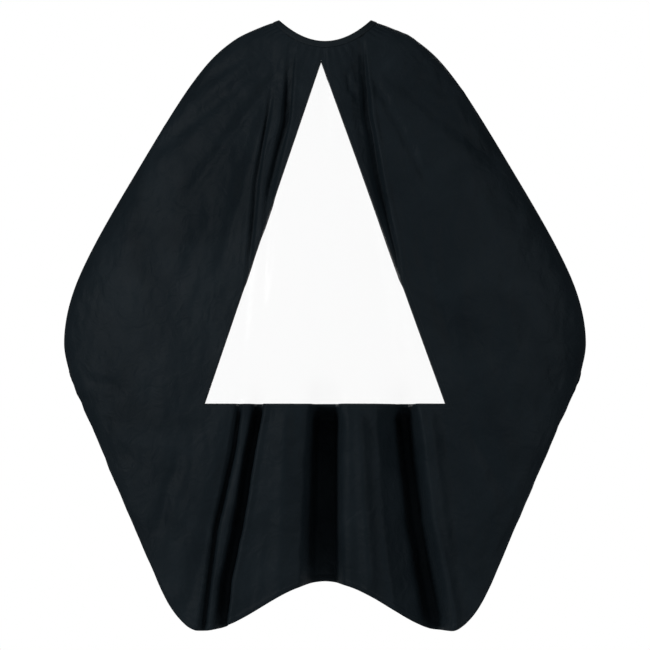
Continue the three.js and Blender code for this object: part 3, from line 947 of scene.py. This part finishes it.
def cut_window(piece):
    mesh = bmesh.new()
    mesh.from_mesh(piece.data)
    tip = Vector((float(lean(WINDOW_TOP)), 0, WINDOW_TOP))
    left = Vector((-WINDOW_HALF, 0, WINDOW_BOTTOM))
    right = Vector((WINDOW_HALF, 0, WINDOW_BOTTOM))
    for start, end in ((tip, left), (left, right), (right, tip)):
        along = end - start
        plane = Vector((along.z, 0, -along.x)).normalized()
        margin = 0.03
        near = [
            f for f in mesh.faces
            if f.calc_center_median().y < -0.02
            and outside_window(f.calc_center_median().x, f.calc_center_median().z) < margin
        ]
        edges = {e for f in near for e in f.edges}
        vertices = {v for f in near for v in f.verts}
        bmesh.ops.bisect_plane(
            mesh, geom=[*near, *edges, *vertices], plane_co=start, plane_no=plane, dist=1e-6,
        )
    inside = [
        f for f in mesh.faces
        if f.calc_center_median().y < -0.02
        and outside_window(f.calc_center_median().x, f.calc_center_median().z) < 0
    ]
    bmesh.ops.delete(mesh, geom=inside, context="FACES")
    mesh.to_mesh(piece.data)
    mesh.free()
    return len(inside)


print("faces cut out", cut_window(body_cloth))
thicken(body_cloth, CLOTH_THICKNESS)

# %% Back flaps
def flap_grid(side):
    phi, v = columns_at(flap_angles, cloth_rows)
    points = cloth_at(side * phi, v, hem_lift(v.shape[1])[None, :])
    return points if side > 0 else points[::-1]


flap_cloth = {}
for side, word in ((1, "left"), (-1, "right")):
    flap_cloth[word] = grid_sheet(f"back_flap_cloth_{word}", flap_grid(side), NYLON)
    thicken(flap_cloth[word], CLOTH_THICKNESS)
    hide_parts(f"back_flap_{word}")

BODY_PANELS = [f"front_panel_{word}" for word in ("left", "right", "lower")]
for name in ("shoulder", "side", "back"):
    BODY_PANELS += [f"{name}_panel_left", f"{name}_panel_right"]
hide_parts(*BODY_PANELS)

# %% [markdown]
# ## Strips and stitches
# Hem turnings, tapes, the neckband and the label are all strips that lie on the cloth. Each
# is a small grid of the same surface with its own lift. Stitches are little spindles of
# thread that follow a line of places on the cloth.

# %% Strip and stitch helpers
def strip(name, phi_list, places, lift, thickness, finish):
    phi, v = columns_at(phi_list, places)
    piece = grid_sheet(name, cloth_at(phi, v, lift), finish)
    return thicken(piece, thickness)


STITCH_PITCH = 0.0036
STITCH_SHARE = 0.74
THREAD_RADIUS = 0.00032


def resample(points, pitch):
    """Even places along a line of points, and the way that it runs at each."""
    steps = np.linalg.norm(np.diff(points, axis=0), axis=1)
    length = np.concatenate([[0], np.cumsum(steps)])
    at = np.arange(pitch / 2, length[-1], pitch)
    places = np.stack([np.interp(at, length, points[:, i]) for i in range(3)], axis=1)
    ahead = np.stack([np.interp(at + pitch / 4, length, points[:, i]) for i in range(3)], axis=1)
    behind = np.stack([np.interp(at - pitch / 4, length, points[:, i]) for i in range(3)], axis=1)
    ways = ahead - behind
    return places, ways / np.linalg.norm(ways, axis=1, keepdims=True)


def stitches(name, lines):
    """One object with a spindle of thread for each stitch along the lines of points."""
    vertices, faces = [], []
    sides = 5
    for points in lines:
        places, ways = resample(np.asarray(points), STITCH_PITCH)
        for place, way in zip(places, ways):
            across = np.cross(way, (0.31, 0.87, 0.38))
            across /= np.linalg.norm(across)
            third = np.cross(way, across)
            first = len(vertices)
            half = STITCH_PITCH * STITCH_SHARE / 2
            vertices += [place - way * half, place + way * half]
            for share in (-0.55, 0.55):
                for k in range(sides):
                    turn = 2 * math.pi * k / sides
                    ring = math.cos(turn) * across + math.sin(turn) * third
                    vertices.append(place + way * half * share + ring * THREAD_RADIUS)
            for k in range(sides):
                a, b = first + 2 + k, first + 2 + (k + 1) % sides
                c, d = a + sides, b + sides
                faces += [(first, b, a), (a, b, d, c), (first + 1, c, d)]
    piece = new_object(name, vertices, faces, THREAD)
    layer = piece.data.uv_layers.new(name="threads")
    flat = np.zeros((len(piece.data.loops), 2), np.float32)
    layer.data.foreach_set("uv", flat.ravel())
    return piece


STITCH_LIFT = CLOTH_THICKNESS / 2 + 0.6 * THREAD_RADIUS


def line_at(phi_list, place, lift=STITCH_LIFT):
    v = np.array([place(phi) for phi in phi_list])
    return cloth_at(np.array(phi_list), v, lift)


# %% Hems
HEM_STITCH = 0.0125
TURNING_LIFT = -0.0011
TURNING_THICKNESS = 0.0006
SLIT_STITCHES = 120


def hem_places(phi):
    return [above_hem(phi, d) for d in (HEM_WIDTH, HEM_WIDTH / 2, 0.0012)]


def hem_stitch_place(phi):
    return above_hem(phi, HEM_STITCH)


fine = math.radians(0.7)
cloth_extras = {"body": [], "left": [], "right": []}
body_hem_angles = angles(-HINGE_PHI, HINGE_PHI, fine)
hem_facing = strip(
    "hem_turning_front", body_hem_angles, hem_places, TURNING_LIFT, TURNING_THICKNESS, NYLON,
)
hem_thread = stitches(
    "hem_stitches_front", [line_at(body_hem_angles, hem_stitch_place, STITCH_LIFT + HEM_LIFT)],
)
cloth_extras["body"] += [hem_facing, hem_thread]

SLIT_HEM = math.radians(4.2)
for side, word in ((1, "left"), (-1, "right")):
    turn = side * angles(HINGE_PHI, SLIT_PHI, fine)
    hem = strip(
        f"hem_turning_{word}", turn[::side], hem_places, TURNING_LIFT, TURNING_THICKNESS, NYLON,
    )
    edge = side * angles(SLIT_PHI - SLIT_HEM, SLIT_PHI - math.radians(0.15), math.radians(1))
    slit = strip(
        f"slit_turning_{word}", edge[::side],
        lambda phi: np.linspace(below_neck(phi, BAND_HEIGHT), above_hem(phi, 0.016), 40),
        TURNING_LIFT, TURNING_THICKNESS, NYLON,
    )
    slit_v = np.linspace(0.09, 0.93, SLIT_STITCHES)
    slit_phi = np.full(SLIT_STITCHES, side * (SLIT_PHI - 0.85 * SLIT_HEM))
    slit_line = cloth_at(slit_phi, slit_v, STITCH_LIFT)
    thread = stitches(
        f"hem_stitches_{word}",
        [line_at(turn, hem_stitch_place, STITCH_LIFT + HEM_LIFT), slit_line],
    )
    cloth_extras[word] += [hem, slit, thread]
print("hem pieces", sum(len(v) for v in cloth_extras.values()))

# %% [markdown]
# ## The window
# The film is sewn behind the cloth and its edges follow the folds there, then it smooths
# out towards its middle. Three tapes bind its edges inside. The film's grid is made from the
# window's own outline: rows across the triangle from its tip to its base.

# %% Film and tapes
FILM_THICKNESS = 0.0004
FILM_LIFT = -0.0016
TAPE_LIFT = -0.0032
TAPE_THICKNESS = 0.0008
TAPE_INSET = 0.0015
TAPE_POINTS = 110
FILM_MARGIN = 0.004
STITCH_ROWS = (0.003, 0.010)


def address_of(x, z):
    """phi and v of the places on the front at x and z, found by a few corrections."""
    x, z = np.broadcast_arrays(np.asarray(x, float), np.asarray(z, float))
    phi = np.arcsin(np.clip(x / 0.56, -0.9, 0.9))
    v = np.clip(-z / HEIGHT, 0.02, 0.98)
    step = 1e-4
    for _ in range(14):
        here = rib(phi, v)
        by_phi = (rib(phi + step, v) - here) / step
        by_v = (rib(phi, v + step) - here) / step
        dx, dz = x - here[..., 0], z - here[..., 2]
        det = by_phi[..., 0] * by_v[..., 2] - by_v[..., 0] * by_phi[..., 2]
        phi = phi + np.clip((dx * by_v[..., 2] - dz * by_v[..., 0]) / det, -0.2, 0.2)
        v_step = np.clip((dz * by_phi[..., 0] - dx * by_phi[..., 2]) / det, -0.1, 0.1)
        v = np.clip(v + v_step, 0.001, 0.999)
    return phi, v


def on_front(x, z, lift):
    """The place of a lifted layer straight behind or before x, z on the front."""
    phi, v = address_of(x, z)
    return cloth_at(phi, v, lift)


def window_grid(margin, rows, columns, lift):
    heights = np.linspace(WINDOW_TOP + 0.6 * margin, WINDOW_BOTTOM - margin, rows)
    share = np.linspace(-1, 1, columns)
    half = np.maximum(WINDOW_SLANT * (WINDOW_TOP - heights) + margin * EDGE_STRETCH, 0.0012)
    x = lean(heights)[None, :] + share[:, None] * half[None, :]
    z = np.repeat(heights[None, :], columns, axis=0)
    return on_front(x, z, lift)


film = grid_sheet("window_film_sheet", window_grid(FILM_MARGIN, 100, 60, FILM_LIFT), FILM)
thicken(film, FILM_THICKNESS)
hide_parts("window_film")


def tape_between(name, start, end, out, node):
    """A tape along one edge of the window, from start to end, widening outwards by `out`."""
    share = np.linspace(0, 1, TAPE_POINTS)
    line = np.array(start)[None, :] + (np.array(end) - np.array(start))[None, :] * share[:, None]
    offsets = np.linspace(-TAPE_INSET, TAPE_OVERLAP, 4)
    x = line[:, 0][:, None] + out[0] * offsets[None, :]
    z = line[:, 1][:, None] + out[1] * offsets[None, :]
    points = on_front(x, z, TAPE_LIFT)
    piece = grid_sheet(name, points, TAPE)
    thicken(piece, TAPE_THICKNESS)
    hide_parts(node)
    return piece


tip = (float(lean(WINDOW_TOP)), WINDOW_TOP)
corner = {side: (side * WINDOW_HALF, WINDOW_BOTTOM) for side in (-1, 1)}
tapes = []
for side, word in ((1, "left"), (-1, "right")):
    out = (side / EDGE_STRETCH, WINDOW_SLANT / EDGE_STRETCH)
    tapes.append(tape_between(f"window_binding_{word}", tip, corner[side], out, f"window_tape_{word}"))
tapes.append(tape_between("window_binding_bottom", corner[-1], corner[1], (0, -1), "window_tape_bottom"))


def window_line(margin, lift):
    """Lines of places round the window, a margin outside its edges."""
    lines = []
    heights = np.linspace(WINDOW_TOP - 0.004, WINDOW_BOTTOM - margin, 260)
    for side in (-1, 1):
        lines.append(on_front(window_corner(side, heights, margin), heights, lift))
    across = np.linspace(-WINDOW_HALF - margin, WINDOW_HALF + margin, 200)
    lines.append(on_front(across, np.full(200, WINDOW_BOTTOM - margin), lift))
    return lines


window_lines = [line for margin in STITCH_ROWS for line in window_line(margin, STITCH_LIFT)]
window_thread = stitches("window_stitches", window_lines)
print("window pieces", film.name, [t.name for t in tapes])

# %% [markdown]
# ## The neckband
# The band is a folded strip: an outer face of nylon, a stiff layer inside and a grippy strip
# against the neck. A plain extrusion looks like plastic, so the section is a rounded one,
# with a bead along each edge and a sewn channel near the bottom, and it puckers slightly.
#
# The stiff layer inside the band shows only at the band's ends, as a fine line between the two
# faces. It is a thin black felt.

# %% Stiffener felt
def make_felt():
    material, shader, nodes, links = new_material("stiffener_felt", 0.92, specular=0.15)
    place = nodes.new("ShaderNodeTexCoord").outputs["Object"]
    fibres = noise_node(nodes, links, place, 700.0, detail=8.0, distortion=2.0)
    colour = ramp_node(nodes, links, fibres, [(0.3, (0.018, 0.018, 0.019)), (0.7, (0.040, 0.040, 0.042))])
    links.new(colour, shader.inputs["Base Color"])
    links.new(bump_node(nodes, links, fibres, 0.0002, 0.7), shader.inputs["Normal"])
    return material


FELT = make_felt()
CORE_THICKNESS = 0.0006

# %% Neckband
BAND_LIFT = 0.0014
BAND_THICKNESS = 0.0010
BAND_ROWS = 14
SNAP_DOWN = 0.0076
TOP_STITCH = 0.10 * BAND_HEIGHT
CHANNEL_STITCH = 0.80 * BAND_HEIGHT


def plain_at(phi, v, lift):
    phi, v = np.broadcast_arrays(np.asarray(phi, float), np.asarray(v, float))
    return rib(phi, v) + outward(phi, v) * np.asarray(lift)[..., None]


def band_section(share):
    """How far a face of the band stands out, from its top (0) to its bottom (1)."""
    round_edges = -0.0011 * (2 * share - 1) ** 6
    channel = -0.00035 * np.exp(-((share - 0.80) / 0.035) ** 2)
    return round_edges + channel


def band_grid(phi_list, lift, face, raised=None):
    share = np.linspace(0, 1, BAND_ROWS)
    phi, v = columns_at(phi_list, lambda angle: below_neck(angle, 0.0002 + share * (BAND_HEIGHT - 0.0004)))
    pucker = 0.00012 * np.sin(150 * phi) * np.sin(math.pi * share)[None, :]
    stand = lift + face * (band_section(share)[None, :] + pucker)
    if raised is not None:
        stand = stand + raised[:, None]
    return plain_at(phi, v, stand)


def band_line(phi_list, distance, lift, raised=0.0):
    v = np.array([below_neck(phi, distance) for phi in phi_list])
    return plain_at(np.array(phi_list), v, np.full(len(v), lift) + raised)


TAB_STEP = 0.009
LEFT_END = phi_from_back(TAB_STEP + 0.0005)
RIGHT_END = phi_from_back(0.0)
band_step = math.radians(0.8)
BAND_ANGLES = {
    "front": angles(-HINGE_PHI, HINGE_PHI, band_step),
    "left": angles(HINGE_PHI, LEFT_END, band_step),
    "right": angles(-RIGHT_END, -HINGE_PHI, band_step),
}
band_pieces = {}
for word, turn in BAND_ANGLES.items():
    outer = grid_sheet(f"band_outer_{word}", band_grid(turn, BAND_LIFT, 1), BAND_NYLON)
    thicken(outer, BAND_THICKNESS)
    inner = grid_sheet(f"band_grip_{word}", band_grid(turn, -BAND_LIFT, -1), RUBBER)
    thicken(inner, BAND_THICKNESS)
    core = grid_sheet(f"band_core_{word}", band_grid(turn, 0.0, 0), FELT)
    thicken(core, CORE_THICKNESS)
    thread = stitches(f"band_stitches_{word}", [
        band_line(turn, CHANNEL_STITCH, BAND_LIFT + 0.0005),
        band_line(turn, TOP_STITCH, BAND_LIFT + 0.0004),
    ])
    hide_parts(f"neckband_outer_{word}")
    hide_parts(f"neckband_grip_{word}")
    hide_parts(f"neckband_stiffener_{word}")
    band_pieces[word] = [outer, inner, thread, core]
print("band pieces", [p.name for p in sum(band_pieces.values(), [])])

# %% [markdown]
# ## The closure
# The tab is a folded strip that steps out over the other end of the band. Its free end is
# rounded and it is stitched along its top and its bottom. It starts at the hinge of the tab.

# %% Tab
TAB_LENGTH = 0.046
TAB_RAISE = 0.0064
TAB_ROUNDING = 0.007
LINING_THICKNESS = 0.0011


def tab_grid(lift, thickness_side):
    step = np.linspace(0.0, TAB_STEP, 14)
    distance = np.concatenate([step, np.linspace(TAB_STEP, TAB_LENGTH, 34)[1:]])
    share = np.linspace(0, 1, BAND_ROWS)
    end = np.clip((distance - (TAB_LENGTH - TAB_ROUNDING)) / TAB_ROUNDING, 0, 1)
    narrow = 0.5 - 0.5 * np.sqrt(np.clip(1 - (0.86 * end) ** 2.2, 0, 1))
    phi = np.array([phi_from_back(d) for d in distance])
    down = narrow[:, None] + share[None, :] * (1 - 2 * narrow[:, None])
    heights = 0.0003 + down * (BAND_HEIGHT - 0.0006)
    v = np.array([below_neck(angle, row) for angle, row in zip(phi, heights)])
    raised = TAB_RAISE * smoothstep(distance, 0.0005, TAB_STEP - 0.0005)
    stand = lift + thickness_side * band_section(share)[None, :] + raised[:, None]
    around = np.repeat(phi[:, None], BAND_ROWS, axis=1)
    return plain_at(around, v, stand)[::-1]


tab_outer = grid_sheet("tab_outer_face", tab_grid(BAND_LIFT, 1), BAND_NYLON)
thicken(tab_outer, BAND_THICKNESS)
tab_lining = grid_sheet("tab_lining_face", tab_grid(0.0, -0.3), BAND_NYLON)
thicken(tab_lining, LINING_THICKNESS)
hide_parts("snap_tab_outer")
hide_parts("snap_tab_lining")
tab_turn = [phi_from_back(d) for d in np.linspace(TAB_STEP, TAB_LENGTH - 0.004, 40)]
tab_thread = stitches("tab_stitches", [
    band_line(tab_turn, TOP_STITCH, BAND_LIFT + 0.0004, TAB_RAISE),
    band_line(tab_turn, 0.90 * BAND_HEIGHT, BAND_LIFT + 0.0004, TAB_RAISE),
])

# %% [markdown]
# ### Snaps
# A press stud is turned metal: a plate with a rolled rim and a nub, and a socket that grips
# the nub. The CAD solids have twelve sides, which shows close up, so each is turned again
# here from a rounded profile, at the same place and inside the same size.

# %% Snaps
def snap_matrix(distance, lift):
    phi = np.array(phi_from_back(distance))
    v = np.array(below_neck(float(phi), SNAP_DOWN))
    normal = Vector(outward(phi, v))
    across = Vector(rib(phi - 0.01, v) - rib(phi + 0.01, v)).normalized()
    third = across.cross(normal)
    place = Vector(plain_at(phi, v, np.array(lift)))
    turn = Matrix((across, third, normal)).transposed().to_4x4()
    return Matrix.Translation(place) @ turn


def turned(name, profile, matrix, finish, sides=40):
    """A solid of revolution: profile is (radius, height) in metres, from axis to axis."""
    vertices, faces = [], []
    rings = []
    for radius, height in profile:
        if radius < 1e-7:
            rings.append([len(vertices)])
            vertices.append(matrix @ Vector((0, 0, height)))
            continue
        ring = []
        for k in range(sides):
            angle = 2 * math.pi * k / sides
            ring.append(len(vertices))
            vertices.append(matrix @ Vector((radius * math.cos(angle), radius * math.sin(angle), height)))
        rings.append(ring)
    for lower, upper in zip(rings, rings[1:]):
        for k in range(sides):
            a, b = lower[k % len(lower)], lower[(k + 1) % len(lower)]
            c, d = upper[k % len(upper)], upper[(k + 1) % len(upper)]
            corners = list(dict.fromkeys((a, b, d, c)))
            if len(corners) > 2:
                faces.append(tuple(corners))
    return new_object(name, vertices, faces, finish)


def mm(*pairs):
    return [(radius / 1000, height / 1000) for radius, height in pairs]


STUD_LIFT = 0.00225
CAP_LIFT = TAB_RAISE + 0.00225
SOCKET_LIFT = 0.00335
stud_profile = mm(
    (0, 0), (4.7, 0), (5.0, 0.25), (4.95, 0.6), (4.6, 0.78), (4.1, 0.72), (3.4, 0.5), (2.4, 0.48),
    (1.95, 0.8), (1.85, 1.1), (2.1, 1.6), (2.05, 1.95), (1.7, 2.3), (1.2, 2.4), (0, 2.4),
)
cap_profile = mm(
    (0, 0.02), (5.6, 0.02), (6.0, 0.25), (5.9, 0.62), (5.0, 1.1), (3.4, 1.38), (1.6, 1.49), (0, 1.5),
)
socket_profile = mm(
    (2.5, 0), (4.8, 0), (5.2, 0.4), (5.2, 1.7), (4.9, 2.0), (3.2, 2.0), (2.8, 1.7), (2.0, 1.62),
    (2.0, 1.5), (2.5, 1.4), (2.5, 0),
)
snap_pieces = []
for index in range(STUDS):
    place = FIRST_SNAP + index * SNAP_PITCH
    stud = turned(f"stud_{index + 1}", stud_profile, snap_matrix(place, STUD_LIFT), SNAP)
    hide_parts(f"snap_stud_{index + 1}")
    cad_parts[f"snap_post_{index + 1}"].material_slots[0].material = POST
    snap_pieces.append(stud)
tab_metal = []
for index in range(SOCKETS):
    place = FIRST_SNAP + index * SNAP_PITCH
    cap = turned(f"cap_{index + 1}", cap_profile, snap_matrix(place, CAP_LIFT), SNAP)
    socket = turned(f"socket_{index + 1}", socket_profile, snap_matrix(place, SOCKET_LIFT), SNAP)
    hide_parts(f"snap_cap_{index + 1}")
    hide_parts(f"snap_socket_{index + 1}")
    tab_metal += [cap, socket]
print("snaps", len(snap_pieces), "studs and", len(tab_metal), "tab pieces")

# %% [markdown]
# ## The care label
# A blank satin label, its top caught in the neckband seam, with a heat-cut edge that curls.

# %% Label
LABEL_LENGTH = 0.045
LABEL_ANGLES = -np.radians(np.linspace(152, 138, 24))
LABEL_CURL = 0.0030
label_rows = np.linspace(BAND_HEIGHT + 0.0004, BAND_HEIGHT + LABEL_LENGTH, 26)
label_phi, label_v = columns_at(LABEL_ANGLES, lambda phi: below_neck(phi, label_rows))
label_across = 1 + 0.3 * np.sin(6 * np.linspace(0, 1, 24))
curl = -LABEL_CURL * np.linspace(0, 1, 26)[None, :] ** 2 * label_across[:, None]
label_grid = cloth_at(label_phi, label_v, -0.0013 + curl)
label = grid_sheet("care_label_cloth", label_grid, LABEL)
thicken(label, 0.0004)
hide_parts("care_label")

# %% [markdown]
# ## Which body each piece moves with
# The cape's front piece stays, and the film, tapes, window stitches and front band ride with it.
# The flaps' cloth, hems and band, and the tab's cloth, keep their places: their transforms are only baked
# into their meshes.
# Snaps and the label are small, so they just ride.

# %% Ride and bake
BEND_WIDTH = 0.050
BAND_BEND = 0.008
for piece in [body_cloth, *cloth_extras["body"], film, *tapes, window_thread, *band_pieces["front"]]:
    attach(piece, "cape")


def bend_points(side, width):
    """Two points across the hinge line: on the line, and a width away on the flap."""
    middle_v = np.array(0.5)
    start = Vector(rib(np.array(side * HINGE_PHI), middle_v))
    ahead = Vector(rib(np.array(side * (HINGE_PHI + 0.05)), middle_v))
    hinge = (Vector(rib(np.array(side * HINGE_PHI), np.array(1.0))) - start).normalized()
    across = ahead - start
    across = (across - hinge * across.dot(hinge)).normalized()
    return tuple(start), tuple(start + across * width)


for side, word in ((1, "left"), (-1, "right")):
    start, end = bend_points(side, BEND_WIDTH)
    for piece in [flap_cloth[word], *cloth_extras[word]]:
        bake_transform(piece)
    start, end = bend_points(side, BAND_BEND)
    for piece in band_pieces[word]:
        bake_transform(piece)
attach(label, "right_back")
for piece in snap_pieces:
    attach(piece, "left_back")
tab_start = Vector(rib(np.array(math.pi), np.array(0.0)))
for piece in (tab_outer, tab_lining, tab_thread):
    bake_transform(piece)
for piece in tab_metal:
    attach(piece, "snap_tab")

# %% Finishes by slot
SLOTS = {
    "nylon": [body_cloth, *flap_cloth.values(), tab_outer, tab_lining, tab_thread, window_thread],
    "clear_film": [film],
    "binding_tape": tapes,
    "snap_metal": [*snap_pieces, *tab_metal],
    "label_cloth": [label],
    "grip_rubber": [],
}
for pieces in cloth_extras.values():
    SLOTS["nylon"] += pieces
for outer, inner, thread, _ in band_pieces.values():
    SLOTS["nylon"] += [outer, thread]
    SLOTS["grip_rubber"].append(inner)

# %% [markdown]
# ## What each sheet was cut to
# A salon cape is cut 1.40 m by 1.60 m. The front piece is that cut less its rounded corners,
# the neck hole, the window and the two flaps. The flaps' own area isn't worked out from the
# cut: it was set about a tenth above the area they were modelled with.

# %% Sheets
def cloth_area(piece):
    """Half the area of a thin solid, which is the area of the cloth."""
    return sum(polygon.area for polygon in piece.data.polygons) / 2


for piece in (body_cloth, *flap_cloth.values(), film, label):
    print(piece.name, "area", round(cloth_area(piece), 4), "m2")
